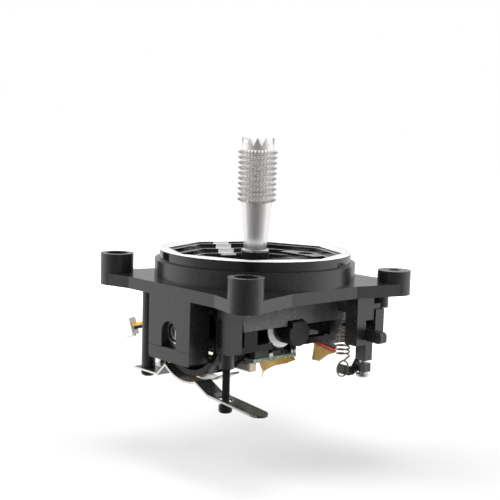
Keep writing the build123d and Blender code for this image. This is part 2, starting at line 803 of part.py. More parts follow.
def ratchet_strap():
    """Second strap, under the toothed track, with an upturned free end."""
    middle = strap_inner_radius + strap_thickness / 2
    level = pivot_z + strap_level - strap_thickness / 2
    a0 = math.radians(-129)
    a1 = math.radians(-72)
    start = (middle * math.cos(a0), pivot_z + middle * math.sin(a0))
    finish = (middle * math.cos(a1), pivot_z + middle * math.sin(a1))
    band = strap_band([(strap_end_x - 0.6, level), (start[0] - 3.2, level), start],
                      (0.0, pivot_z - middle), [finish, (finish[0] + 4.0, finish[1] + 1.9)],
                      ratchet_strap_y)
    return band - rod_z(strap_screw_diameter / 2 + 0.25, -30, -15, ratchet_post_x, ratchet_strap_y)


def pan_screw(x, y, top):
    """Pan-head screw from below; top is the strap's underside."""
    head = rod_z(pan_head_diameter / 2, top - pan_head_height, top, x, y)
    head = chamfer(head.edges().group_by(Axis.Z)[0], 0.45)
    shank = rod_z(strap_screw_diameter / 2, top, top + 5.5, x, y)
    return head + shank - rod_z(0.6, top - pan_head_height, top - 0.6, x, y)


def strap_anchor_screws():
    under = pivot_z + strap_level - strap_thickness
    return Compound([pan_screw(strap_post_x, strap_y, under),
                     pan_screw(ratchet_post_x, ratchet_strap_y, under)])


def strap_standoff():
    """Bright ribbed spacer between the short post and the ratchet strap."""
    level = pivot_z + strap_level
    top = pivot_z + standoff_top
    solid = rod_z(standoff_diameter / 2, level, top, ratchet_post_x, ratchet_strap_y)
    return solid - rod_z(strap_screw_diameter / 2 + seat_clearance, level, top, ratchet_post_x, ratchet_strap_y)


def strap_tension_screw():
    r = tension_head_diameter / 2
    x = tension_screw_x
    y = column_y
    head = rod_z(r, tension_screw_end - tension_head_height, tension_screw_end, x, y)
    head = chamfer(head.edges().group_by(Axis.Z)[0], 0.3)
    socket = extrude(RegularPolygon(0.85, 6), amount=1.0)
    head -= Pos(x, y, tension_screw_end - tension_head_height) * socket
    return head + rod_z(strap_screw_diameter / 2, tension_screw_end, column_bottom + 3, x, y)


def centering_lever():
    """Lever across the +Y side: eye, bar over the cam, cross arm, spring hook and finger."""
    low = pivot_z + cam_height + lever_gap
    top = low + lever_height
    mid = (low + top) / 2
    y0 = lever_y - lever_width / 2
    y1 = lever_y + lever_width / 2
    solid = rod_y(lever_eye_radius, y0, y1, lever_pivot_x, mid)
    solid += block(lever_pivot_x, lever_end_x - 0.6, y0, y1, low, top)
    solid += block(guide_x - 1.4, lever_end_x, y0 + 0.5, y0 + 0.5 + lever_end_width, lever_end_bottom,
                   lever_end_top)
    ax0 = lever_arm_x - lever_arm_width / 2
    ax1 = lever_arm_x + lever_arm_width / 2
    solid += block(ax0, ax1, spring_y - 0.9, y1, low, top)
    finger_low = finger_z - finger_height / 2
    side = finger_width / 2
    solid += block(ax0 + 0.6, ax1, finger_y - side + 0.6, finger_y + side, finger_low, top)
    start = ax1 - 0.1
    outline = [(start, finger_low), (finger_tip_x, finger_low - finger_slope),
               (finger_tip_x, finger_low + finger_height - finger_slope), (start, finger_low + finger_height)]
    finger = profile_y(outline, finger_y - side, finger_y + side)
    solid += fillet(finger.edges().filter_by(Axis.Y).group_by(Axis.X)[-1], 0.9)
    hook_top = spring_top + spring_mean_radius - spring_wire / 2 - 0.15
    solid += block(spring_x - 0.4, spring_x + 0.5, spring_y - 0.8, finger_y, hook_top - 0.8, hook_top)
    pin = lever_pin_diameter / 2 + running_clearance
    return solid - rod_y(pin, y0 - 1, y1 + 1, lever_pivot_x, mid)


def lever_pin():
    z = pivot_z + cam_height + lever_gap + lever_height / 2
    y0 = lever_y - lever_width / 2 - 0.4
    y1 = lever_y + lever_width / 2 + 0.4 + 2.2
    return rod_y(lever_pin_diameter / 2, y0, y1, lever_pivot_x, z)


def centering_spring():
    """Extension spring: coil with a hook above and a ring on a short neck below."""
    height = spring_pitch * spring_turns
    bottom = spring_top - height
    wire = spring_wire / 2
    path = Pos(spring_x, spring_y, bottom) * Helix(spring_pitch, height, spring_mean_radius)
    section = Plane(origin=path @ 0, z_dir=path % 0) * RegularPolygon(wire, 6)
    solid = sweep(section, path=path)
    start = path @ 1
    over = (spring_x, spring_y, spring_top + spring_mean_radius)
    finish = (spring_x - spring_mean_radius, spring_y, spring_top)
    hook = ThreePointArc(start, over, finish)
    solid += sweep(Plane(origin=hook @ 0, z_dir=hook % 0) * RegularPolygon(wire, 6), path=hook)
    ring_radius = spring_loop_radius
    around = Axis((spring_x, spring_y, spring_loop_z), (1, 0, 0))
    rim = Plane(origin=(spring_x, spring_y, spring_loop_z + ring_radius), z_dir=(0, 1, 0))
    ring = revolve(rim * RegularPolygon(wire, 6), axis=around)
    neck_top = path @ 0
    neck_low = (spring_x, spring_y, spring_loop_z + ring_radius)
    neck = Line(neck_top, neck_low)
    solid += sweep(Plane(origin=neck @ 0, z_dir=neck % 0) * RegularPolygon(wire, 6), path=neck)
    return solid + ring


def spring_slider():
    """Nut block on the tension screw with the spring's lower hook arm."""
    low = slider_top - slider_height
    arm_top = slider_arm_bottom + slider_arm_height
    arm_y0 = spring_y - slider_arm_width / 2
    arm_y1 = spring_y + slider_arm_width / 2
    solid = block(slider_wall_x, slider_block_x, slider_block_y0, slider_block_y1, low, slider_top)
    solid += block(spring_x - 1.25, slider_wall_x, arm_y0, arm_y1, slider_arm_bottom, arm_top)
    wall = [(arm_y0, slider_arm_bottom), (arm_y0 + 1.6, slider_arm_bottom), (slider_block_y1, low),
            (slider_block_y1, slider_top + 0.5), (slider_block_y0 + 1.2, slider_top + 0.5),
            (slider_block_y0, arm_top), (arm_y0, arm_top)]
    solid += profile_x(wall, slider_wall_x - 1.0, slider_wall_x)
    bore = slider_screw_diameter / 2 + running_clearance
    return solid - rod_z(bore, low - 1, slider_top + 1, slider_screw_x, slider_screw_y)


def spring_tension_screw():
    x = slider_screw_x
    y = slider_screw_y
    low = slider_top - slider_height - slider_travel_down - 0.15
    head = rod_z(slider_screw_head / 2, low - 0.9, low, x, y)
    head = chamfer(head.edges().group_by(Axis.Z)[0], 0.3)
    head -= block(x - 1.3, x + 1.3, y - 0.25, y + 0.25, low - 0.9, low - 0.5)
    return head + rod_z(slider_screw_diameter / 2, low, slider_screw_top, x, y)


def sensor_board():
    solid = block(board_x0, board_x1, board_y0, board_y1, board_z - board_thickness, board_z)
    corner = solid.edges().filter_by(Axis.Z).sort_by_distance((board_x1, board_y1, board_z))[0]
    solid = chamfer(corner, 2.5)
    for y in (board_leg_front_y, board_leg_back_y):
        for side in (-1, 1):
            solid -= rod_z(board_screw_diameter / 2, board_z - 2, board_z + 1, side * board_leg_x, y)
    return solid


def board_screws():
    screws = []
    under = board_z - board_thickness
    for y in (board_leg_front_y, board_leg_back_y):
        for side in (-1, 1):
            x = side * board_leg_x
            head = rod_z(1.2, under - 0.7, under, x, y)
            screws.append(head + rod_z(board_screw_diameter / 2 - seat_clearance, under, board_z + 2.6, x, y))
    return Compound(screws)


def board_connector():
    """Socket under the board, its contacts showing as ribs on the -Y side."""
    under = board_z - board_thickness
    y1 = connector_y0 + connector_width
    x1 = connector_x0 + connector_length
    solid = block(connector_x0, x1, connector_y0, y1, under - connector_height, under)
    for n in range(5):
        x = connector_x0 + 1.0 + n
        solid -= block(x - 0.25, x + 0.25, connector_y0 - 1, connector_y0 + 0.3, under - connector_height - 1,
                       under - 0.4)
    return solid


def board_chips():
    """Parts on the board's upper side: a socket block, two chips and a small can."""
    top = board_z
    socket = block(socket_x0, socket_x0 + socket_length, socket_y0, socket_y0 + socket_width, top,
                   top + socket_height)
    chip = block(chip_x0, chip_x0 + chip_size, chip_y0, chip_y0 + chip_size, top, top + chip_height)
    small = block(chip_x0, chip_x0 + small_chip_width, small_chip_y0, small_chip_y0 + small_chip_width, top,
                  top + small_chip_height)
    sensor = block(-0.9, 0.9, -1.6, 1.6, top, top + 0.9)
    sensor_x = magnet_holder_x + magnet_holder_width / 2
    hall = block(sensor_x - 2.8, sensor_x - 1.2, -1.0, 1.0, top, top + 1.0)
    return Compound([socket, chip, small, sensor, hall])


def lead(name, route):
    """A lead along straight runs joined by arcs as large as the runs allow."""
    points = [Vector(*p) for p in route]
    radii = []
    for before, here, after in zip(points, points[1:], points[2:]):
        turn = math.radians((here - before).get_angle(after - here))
        shorter = min((here - before).length, (after - here).length)
        radii.append(0.45 * shorter / math.tan(turn / 2))
    path = FilletPolyline(*route, radius=radii)
    section = Plane(origin=path @ 0, z_dir=path % 0) * Circle(lead_diameter / 2)
    tube = sweep(section, path=path)
    share = tube.volume / (math.pi * lead_diameter ** 2 / 4 * path.length)
    print(name, "length %.1f" % path.length, "volume share %.4f" % share, "radii", [round(x, 1) for x in radii])
    return tube


def plug():
    """White plug on the leads' free end."""
    place = Plane(origin=plug_face, x_dir=(-0.31, 0.9, 0), z_dir=tuple(-v for v in plug_axis))
    body = extrude(place * Rectangle(plug_width, plug_height), amount=plug_length)
    body = chamfer(body.edges().filter_by(GeomType.LINE).group_by(Axis.X)[0], 0.3)
    rib = place * Pos(0, plug_height / 2 + 0.2, 1.6) * Box(1.0, 0.4, 2.4)
    return body + rib


def main():
    os.makedirs("parts", exist_ok=True)
    save("housing", housing())
    save("bezel_ring", bezel_ring())
    front = retainer()
    save("front_retainer", front)
    save("back_retainer", mirror(front, Plane.XZ))
    save("retainer_screws", retainer_screws())
    seats = (-bearing_face_y - bearing_width, bearing_face_y)
    save("bearing_outer_rings", Compound([bearing_races(y, False) for y in seats]))
    save("bearing_inner_rings", Compound([bearing_races(y, True) for y in seats]))
    save("dome", dome())
    save("cradle", cradle())
    save("pivot_shafts", pivot_shafts())
    save("tilt_bushes", tilt_bushes())
    save("tilt_shaft", tilt_shaft())
    save("stick_carrier", stick_carrier())
    save("magnet_holder", magnet_holder())
    save("tilt_magnet", tilt_magnet())
    save("tilt_centering_spring", tilt_centering_spring())
    save("stick_stem", stem())
    save("lock_grip", lock_grip())
    save("tip_grip", tip_grip())
    save("stick_core", stick_core())
    save("smooth_strap", smooth_strap())
    save("ratchet_strap", ratchet_strap())
    save("strap_anchor_screws", strap_anchor_screws())
    save("strap_standoff", strap_standoff())
    save("strap_tension_screw", strap_tension_screw())
    save("centering_lever", centering_lever())
    save("lever_pin", lever_pin())
    save("centering_spring", centering_spring())
    save("spring_slider", spring_slider())
    save("spring_tension_screw", spring_tension_screw())
    save("sensor_board", sensor_board())
    save("board_screws", board_screws())
    save("board_connector", board_connector())
    save("board_chips", board_chips())
    save("lead_red", lead("lead_red", red_route))
    save("lead_yellow", lead("lead_yellow", yellow_route))
    save("lead_black", lead("lead_black", black_route))
    save("plug", plug())


main()
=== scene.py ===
import json
import math

import bpy
from mathutils import Matrix, Vector

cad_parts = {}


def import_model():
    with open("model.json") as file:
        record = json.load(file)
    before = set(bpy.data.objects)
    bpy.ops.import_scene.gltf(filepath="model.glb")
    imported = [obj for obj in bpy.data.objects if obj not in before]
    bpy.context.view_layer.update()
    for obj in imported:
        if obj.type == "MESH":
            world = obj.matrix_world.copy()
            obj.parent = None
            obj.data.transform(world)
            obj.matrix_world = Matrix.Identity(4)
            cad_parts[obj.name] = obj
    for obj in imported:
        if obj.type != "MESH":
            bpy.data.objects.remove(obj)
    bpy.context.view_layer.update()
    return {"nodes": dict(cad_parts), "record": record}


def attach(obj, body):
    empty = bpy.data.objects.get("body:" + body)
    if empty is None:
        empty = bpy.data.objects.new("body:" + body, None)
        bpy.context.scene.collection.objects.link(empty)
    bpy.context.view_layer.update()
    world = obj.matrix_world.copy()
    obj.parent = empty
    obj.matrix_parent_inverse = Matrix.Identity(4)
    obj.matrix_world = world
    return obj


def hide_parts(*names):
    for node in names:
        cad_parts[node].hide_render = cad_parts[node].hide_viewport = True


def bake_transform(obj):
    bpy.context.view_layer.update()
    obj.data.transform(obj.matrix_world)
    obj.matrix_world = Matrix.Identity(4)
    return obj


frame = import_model()
nodes = frame["nodes"]

MM = 0.001
PIVOT_Z = -8.6

# Camera, in the part's own frame
CAMERA_POSITION = (212.621, -191.633, 44.394)
CAMERA_RIGHT = (0.66320, 0.74790, 0.02861)
CAMERA_UP = (-0.10849, 0.05823, 0.99239)
CAMERA_BACK = (0.74054, -0.66126, 0.11976)
CAMERA_LENS = 81.62
SENSOR_WIDTH = 36
CLIP_START = 0.01
CLIP_END = 10

# Grip
GRIP_BOTTOM = 22.2
GRIP_PITCH = 1.31
GRIP_OUTER = 5.1
GRIP_ROOT = 4.3
GRIP_COLUMNS = 32
LOCK_ROWS = 2
TIP_ROWS = 8
GRIP_GAP = 0.06
CORE_CLEAR = 1.55
BORE_ROOF = 1.0
CROWN_RADIUS = 4.05
CROWN_HEIGHT = 3.3
CROWN_FLOOR = 0.25
CROWN_TEETH = 12
CROWN_SLOPE = 2.1
CROWN_FINENESS = 8
CROWN_RINGS = 14

# Centering spring
SPRING_X = 19.2
SPRING_Y = 13.6
SPRING_RADIUS = 1.6
SPRING_PITCH = 1.05
SPRING_TURNS = 7
SPRING_LOW = -15.75
SPRING_WIRE = 0.45
RING_Z = -19.0
RING_RADIUS = 2.0
RING_STEPS = 30
NECK_X = 0.9
NECK_DROP = 0.65
COIL_STEPS = 20
HOOK_TOP = -6.8
HOOK_STEPS = 8

# Strap tension screw
STRAP_SCREW = (13.2, -19.95)
SCREW_HEAD_LOW = -26.4
SCREW_HEAD_TOP = -24.6
SCREW_HEAD_RADIUS = 1.65
SCREW_END = -9.0
SCREW_SIDES = 24
THREAD_PITCH = 0.4
THREAD_ROOT = 0.8
THREAD_CREST = 1.0
RINGS_PER_PITCH = 4
SOCKET_RADIUS = 0.85
SOCKET_MOUTH = 1.1
SOCKET_CHAMFER = 0.05
SOCKET_FLOOR = -25.5
# Rounded edge of the head: height above its foot, and distance in from its side
HEAD_EDGE = [(0.0, 0.45), (0.1, 0.2), (0.3, 0.05), (0.5, 0.0)]

# Films and sleeves under the board
FILM_THICKNESS = 0.08
FILM_TOP_X = 11.9
FILM_TOP_Z = -16.02
FILM_TOP_Y = (-8.3, -7.2, -6.1, -3.7, 0.3, 3.4)
FILM_FOOT = [(12.5, -8.2, -17.2), (12.6, -7.6, -18.3), (12.6, -6.0, -17.8), (12.5, -3.7, -17.3),
             (12.5, 0.3, -17.2), (12.4, 3.6, -16.7)]
HOOK_INNER = [(12.6, -7.6, -17.9), (12.6, -8.0, -18.8), (12.6, -8.05, -19.4), (12.6, -7.7, -19.6)]
HOOK_OUTER = [(12.6, -7.0, -18.2), (12.6, -7.6, -19.0), (12.6, -7.75, -19.3), (12.6, -7.5, -19.5)]
REAR_FILM_TOP = [(12.9, 9.6, -12.9), (12.95, 11.7, -13.8), (13.0, 14.3, -14.9), (13.1, 16.9, -15.9)]
REAR_FILM_FOOT = [(13.1, 8.7, -17.2), (13.1, 11.3, -17.9), (13.1, 14.3, -16.7), (13.1, 17.1, -16.4)]
RED_SLEEVE = [(12.9, 9.4, -12.6), (13.0, 12.0, -13.8), (13.1, 14.5, -14.9), (13.2, 17.0, -15.9)]
RED_SLEEVE_RADIUS = 0.45
BLACK_SLEEVE = [(12.7, 9.6, -12.2), (12.8, 12.4, -13.0), (12.9, 14.8, -13.9), (13.0, 17.1, -14.9)]
BLACK_SLEEVE_RADIUS = 0.6

# Contact springs of the socket, and tinned pads: rings of height and radius
PIN_COUNT = 8
PIN_FIRST_X = 5.75
PIN_PITCH = 0.68
PIN_Y = -10.95
PIN_SIDES = 8
PIN_RINGS = [(-18.1, 0.1), (-17.9, 0.2), (-16.6, 0.24), (-16.1, 0.16)]
PAD_X = 11.65
PAD_Y = (-4.6, -3.9, 2.9, 3.9)
PAD_SIDES = 10
PAD_RINGS = [(-15.1, 0.3), (-14.7, 0.3), (-14.3, 0.22), (-14.1, 0.08)]

# Leads, from the board's socket to the plug
LEAD_DIAMETER = 0.8
RED_ROUTE = [(5.35, -9.4, -16.9), (-0.2, -9.4, -16.9), (-6.2, -9.55, -17.6), (-12.0, -9.5, -16.3),
             (-17.2, -9.4, -13.4), (-21.8, -11.6, -11.4), (-24.9, -15.2, -10.9), (-28.56, -16.43, -12.2)]
YELLOW_ROUTE = [(5.35, -10.4, -16.9), (-0.2, -10.4, -16.9), (-6.2, -10.6, -17.6), (-12.0, -10.5, -16.3),
                (-16.8, -10.4, -13.4), (-21.2, -12.4, -11.4), (-24.3, -16.0, -10.9), (-28.24, -17.37, -12.2)]
BLACK_ROUTE = [(5.35, -9.9, -17.75), (-0.2, -9.9, -17.75), (-6.2, -10.05, -18.5), (-12.0, -10.0, -17.25),
               (-17.0, -9.9, -14.3), (-21.5, -12.0, -12.3), (-24.6, -15.6, -11.8), (-28.14, -16.81, -13.0)]
# Each lead's route and its length in millimetres
LEADS = {"lead_red": (RED_ROUTE, 37.4), "lead_yellow": (YELLOW_ROUTE, 37.1),
         "lead_black": (BLACK_ROUTE, 37.0)}
# Steps along each lead's curve, and round its section
LEAD_STEPS = 12
LEAD_ROUNDNESS = 3


def mm(*values):
    return Vector(v * MM for v in values)


# Materials

# Rounding of the moulded edges
EDGE_RADIUS = 0.14
# Range in which most of a noise texture's values lie
NOISE_LOW = 0.3
NOISE_HIGH = 0.7
# Scale of the changes of tone, as a share of the grain's
TONE_SHARE = 0.12
# Least and greatest roughness of a metal, as a share of its own
ROUGH_LOW = 0.75
ROUGH_HIGH = 1.3
# Part of a face's normal along an axis from which it counts as turned that way, or squarely so
TURNED_TO = 0.3
SQUARE_TO = 0.7
# Far left facets of the bezel, where a bright reflection is painted
FACET_MIDDLE = 5.8
FACET_HALF = 2.0
FACET_FROM = -15
# The second strap lies behind this
SECOND_STRAP_FROM = -16.8
# Radius to which the bands of a round piece are measured
BAND_REACH = 5


def new_material(name):
    material = bpy.data.materials.new(name)
    material.use_nodes = True
    tree = material.node_tree
    return material, tree, tree.nodes["Principled BSDF"]


def coordinates(tree, scale=(1, 1, 1)):
    place = tree.nodes.new("ShaderNodeTexCoord")
    mapping = tree.nodes.new("ShaderNodeMapping")
    mapping.inputs["Scale"].default_value = scale
    tree.links.new(place.outputs["Object"], mapping.inputs["Vector"])
    return mapping.outputs["Vector"]


def noise(tree, scale, detail=4.0, stretch=(1, 1, 1), roughness=0.55):
    node = tree.nodes.new("ShaderNodeTexNoise")
    node.inputs["Scale"].default_value = scale
    node.inputs["Detail"].default_value = detail
    node.inputs["Roughness"].default_value = roughness
    tree.links.new(coordinates(tree, stretch), node.inputs["Vector"])
    return node.outputs["Fac"]


def ramp(tree, fac, stops):
    node = tree.nodes.new("ShaderNodeValToRGB")
    elements = node.color_ramp.elements
    while len(elements) < len(stops):
        elements.new(0.5)
    for element, (position, colour) in zip(elements, stops):
        element.position = position
        element.color = (*colour, 1) if len(colour) == 3 else colour
    tree.links.new(fac, node.inputs["Fac"])
    return node.outputs["Color"]


def grey(value):
    return (value, value, value)


def bump(tree, shader, height, distance, strength=1.0):
    node = tree.nodes.new("ShaderNodeBump")
    node.inputs["Distance"].default_value = distance
    node.inputs["Strength"].default_value = strength
    tree.links.new(height, node.inputs["Height"])
    tree.links.new(node.outputs["Normal"], shader.inputs["Normal"])


def spread(tree, fac, low, high):
    """Maps a noise value to a range, for roughness."""
    node = tree.nodes.new("ShaderNodeMapRange")
    node.inputs["From Min"].default_value = NOISE_LOW
    node.inputs["From Max"].default_value = NOISE_HIGH
    node.inputs["To Min"].default_value = low
    node.inputs["To Max"].default_value = high
    tree.links.new(fac, node.inputs["Value"])
    return node.outputs["Result"]


def plastic(name, dark, light, rough=(0.32, 0.45), grain=6000, depth=0.004, specular=0.5):
    material, tree, shader = new_material(name)
    tone = noise(tree, grain * TONE_SHARE, 3)
    tree.links.new(ramp(tree, tone, [(0.35, dark), (0.65, light)]), shader.inputs["Base Color"])
    fine = noise(tree, grain, 3)
    tree.links.new(spread(tree, tone, *rough), shader.inputs["Roughness"])
    shader.inputs["Specular IOR Level"].default_value = specular
    if depth:
        bump(tree, shader, fine, depth * MM)
    else:
        soften(tree, shader)
    return material


def soften(tree, shader):
    """Rounds sharp edges a little, as moulding and deburring do."""
    edge = tree.nodes.new("ShaderNodeBevel")
    edge.samples = 4
    edge.inputs["Radius"].default_value = EDGE_RADIUS * MM
    tree.links.new(edge.outputs["Normal"], shader.inputs["Normal"])


def grained_plastic(name):
    """Dark grey shell with a fine sparkling grain."""
    material, tree, shader = new_material(name)
    cell = tree.nodes.new("ShaderNodeTexVoronoi")
    cell.inputs["Scale"].default_value = 5200
    tree.links.new(coordinates(tree), cell.inputs["Vector"])
    bright = ramp(tree, cell.outputs["Color"], [(0.0, grey(0.035)), (0.55, grey(0.075)), (0.86, grey(0.12)),
                                                 (0.97, grey(0.3))])
    tree.links.new(bright, shader.inputs["Base Color"])
    shader.inputs["Roughness"].default_value = 0.55
    bump(tree, shader, noise(tree, 4200, 5), 0.05 * MM, 0.6)
    return material


def metal(name, colour, rough, stretch=(1, 1, 1), grain=3000, depth=0.002, tint=0.88, metallic=1.0):
    """Metal with a brushed or turned grain, stretched across the lay."""
    material, tree, shader = new_material(name)
    lay = noise(tree, grain, 5, stretch, 0.7)
    shade = tuple(c * tint for c in colour)
    tree.links.new(ramp(tree, lay, [(NOISE_LOW, shade), (NOISE_HIGH, colour)]), shader.inputs["Base Color"])
    tree.links.new(spread(tree, lay, rough * ROUGH_LOW, rough * ROUGH_HIGH), shader.inputs["Roughness"])
    shader.inputs["Metallic"].default_value = metallic
    bump(tree, shader, lay, depth * MM)
    return material


def math_node(tree, operation, *values):
    node = tree.nodes.new("ShaderNodeMath")
    node.operation = operation
    for socket, value in zip(node.inputs, values):
        if isinstance(value, (int, float)):
            socket.default_value = value
        else:
            tree.links.new(value, socket)
    return node.outputs[0]


def blend_colour(tree, factor, first, second):
    """The first colour at factor 0, the second at 1."""
    mix = tree.nodes.new("ShaderNodeMix")
    mix.data_type = "RGBA"
    for name, value in (("Factor", factor), ("A", first), ("B", second)):
        socket = mix.inputs[name]
        if isinstance(value, tuple):
            socket.default_value = (*value, 1)
        else:
            tree.links.new(value, socket)
    return mix.outputs["Result"]


def separate(tree, output):
    """The three parts of a texture coordinate, in the node's own axes."""
    place = tree.nodes.new("ShaderNodeTexCoord")
    split = tree.nodes.new("ShaderNodeSeparateXYZ")
    tree.links.new(place.outputs[output], split.inputs["Vector"])
    return [split.outputs[axis] for axis in "XYZ"]


def upright_normal(tree, shader):
    """Turned flanks mirror the room as an upright wall would; flat ends keep their own normal."""
    place = tree.nodes.new("ShaderNodeNewGeometry")
    split = tree.nodes.new("ShaderNodeSeparateXYZ")
    tree.links.new(place.outputs["Normal"], split.inputs["Vector"])
    size = math_node(tree, "ABSOLUTE", split.outputs["Z"])
    flat = math_node(tree, "GREATER_THAN", size, SQUARE_TO)
    keep = math_node(tree, "MULTIPLY", split.outputs["Z"], flat)
    joined = tree.nodes.new("ShaderNodeCombineXYZ")
    tree.links.new(split.outputs["X"], joined.inputs["X"])
    tree.links.new(split.outputs["Y"], joined.inputs["Y"])
    tree.links.new(keep, joined.inputs["Z"])
    unit = tree.nodes.new("ShaderNodeVectorMath")
    unit.operation = "NORMALIZE"
    tree.links.new(joined.outputs["Vector"], unit.inputs[0])
    tree.links.new(unit.outputs["Vector"], shader.inputs["Normal"])


def turned_metal(name, colour, rough):
    """Polished turned aluminium with fine rings round its axis."""
    material, tree, shader = new_material(name)
    lay = noise(tree, 3000, 5, (3, 3, 0.1), 0.7)
    shade = tuple(c * 0.93 for c in colour)
    tree.links.new(ramp(tree, lay, [(NOISE_LOW, shade), (NOISE_HIGH, colour)]), shader.inputs["Base Color"])
    tree.links.new(spread(tree, lay, rough * ROUGH_LOW, rough * ROUGH_HIGH), shader.inputs["Roughness"])
    shader.inputs["Metallic"].default_value = 0.9
    upright_normal(tree, shader)
    return material


def two_tone(name, dark, bright, factor_of, rough, shine=1.0):
    """One material of two tones; factor_of gives the bright tone's share."""
    material, tree, shader = new_material(name)
    factor = factor_of(tree)
    tree.links.new(blend_colour(tree, factor, dark, bright), shader.inputs["Base Color"])
    tree.links.new(math_node(tree, "MULTIPLY", factor, shine), shader.inputs["Metallic"])
    grain = noise(tree, 2500, 4)
    tree.links.new(spread(tree, grain, *rough), shader.inputs["Roughness"])
    shader.inputs["Specular IOR Level"].default_value = 0.9
    return material


def bezel_painted_light(tree):
    """Faces that look up are painted bright, as lit from above, and the far left facets are painted bright
    as a reflection. The other walls are painted black, as the dark they mirror.
    """
    inward, _, up = separate(tree, "Normal")
    upward = math_node(tree, "GREATER_THAN", up, TURNED_TO)
    across, along, _ = separate(tree, "Object")
    off = math_node(tree, "SUBTRACT", along, FACET_MIDDLE * MM)
    off = math_node(tree, "ABSOLUTE", off)
    facet = math_node(tree, "LESS_THAN", off, FACET_HALF * MM)
    facet = math_node(tree, "MULTIPLY", facet, math_node(tree, "LESS_THAN", across, FACET_FROM * MM))
    facet = math_node(tree, "MULTIPLY", facet, math_node(tree, "GREATER_THAN", inward, TURNED_TO))
    return math_node(tree, "MAXIMUM", upward, facet)


def strap_edge_highlight_and_second_strap(tree):
    """Painted highlights on the side edges of both straps, and all of the second strap pale."""
    sideways = math_node(tree, "ABSOLUTE", separate(tree, "Normal")[1])
    edge = math_node(tree, "GREATER_THAN", sideways, SQUARE_TO)
    second = math_node(tree, "GREATER_THAN", separate(tree, "Object")[1], SECOND_STRAP_FROM * MM)
    return math_node(tree, "MAXIMUM", edge, second)


def round_from_pivot(tree, first, second):
    """Distance from the pivot's height across two of the node's axes."""
    height = math_node(tree, "SUBTRACT", second, PIVOT_Z * MM)
    squares = math_node(tree, "ADD", math_node(tree, "MULTIPLY", first, first),
                        math_node(tree, "MULTIPLY", height, height))
    return math_node(tree, "SQRT", squares)


def disc_material(name):
    """White disc whose rim side is painted near black as shade, by radius from the tilt axis."""
    material, tree, shader = new_material(name)
    _, along, up = separate(tree, "Object")
    radius = math_node(tree, "DIVIDE", round_from_pivot(tree, along, up), BAND_REACH * MM)
    # Painted shade: the outer band, on the disc's rim side, is near black
    bands = [(0.0, grey(0.86)), (0.94, grey(0.84)), (0.96, grey(0.01))]
    tree.links.new(ramp(tree, radius, bands), shader.inputs["Base Color"])
    shader.inputs["Roughness"].default_value = 0.3
    return material


def bearing_material(name):
    """Shielded bearing, by radius from the pivot: painted highlights as two bright ring edges, round a dark
    shield with painted shade.
    """
    material, tree, shader = new_material(name)
    across, _, up = separate(tree, "Object")
    radius = math_node(tree, "DIVIDE", round_from_pivot(tree, across, up), BAND_REACH * MM)
    # The thin bright bands are painted highlights on the ring edges; the dark bands are the shield's own
    # dark with painted shade
    bands = [(0.0, grey(0.03)), (0.29, grey(0.03)), (0.3, grey(0.7)), (0.34, grey(0.7)), (0.35, grey(0.04)),
             (0.5, grey(0.05)), (0.51, grey(0.8)), (0.56, grey(0.8)), (0.58, grey(0.08)), (0.72, grey(0.3))]
    tree.links.new(ramp(tree, radius, bands), shader.inputs["Base Color"])
    shader.inputs["Metallic"].default_value = 0.9
    shader.inputs["Roughness"].default_value = 0.22
    return material


def film(name):
    """Thin amber film."""
    material, tree, shader = new_material(name)
    tone = noise(tree, 300, 3)
    tree.links.new(ramp(tree, tone, [(NOISE_LOW, (0.3, 0.17, 0.015)), (NOISE_HIGH, (0.5, 0.32, 0.05))]),
                   shader.inputs["Base Color"])
    shader.inputs["Roughness"].default_value = 0.18
    shader.inputs["Transmission Weight"].default_value = 0.45
    bump(tree, shader, noise(tree, 700, 3), 0.04 * MM)
    return material


def board_material(name):
    """Fibreglass board under a mottled green-grey mask."""
    material, tree, shader = new_material(name)
    spots = noise(tree, 1400, 4)
    colours = [(0.3, (0.05, 0.075, 0.055)), (0.52, (0.13, 0.17, 0.13)), (0.68, (0.3, 0.34, 0.28))]
    tree.links.new(ramp(tree, spots, colours), shader.inputs["Base Color"])
    shader.inputs["Roughness"].default_value = 0.4
    bump(tree, shader, noise(tree, 3000, 3), 0.02 * MM)
    return material


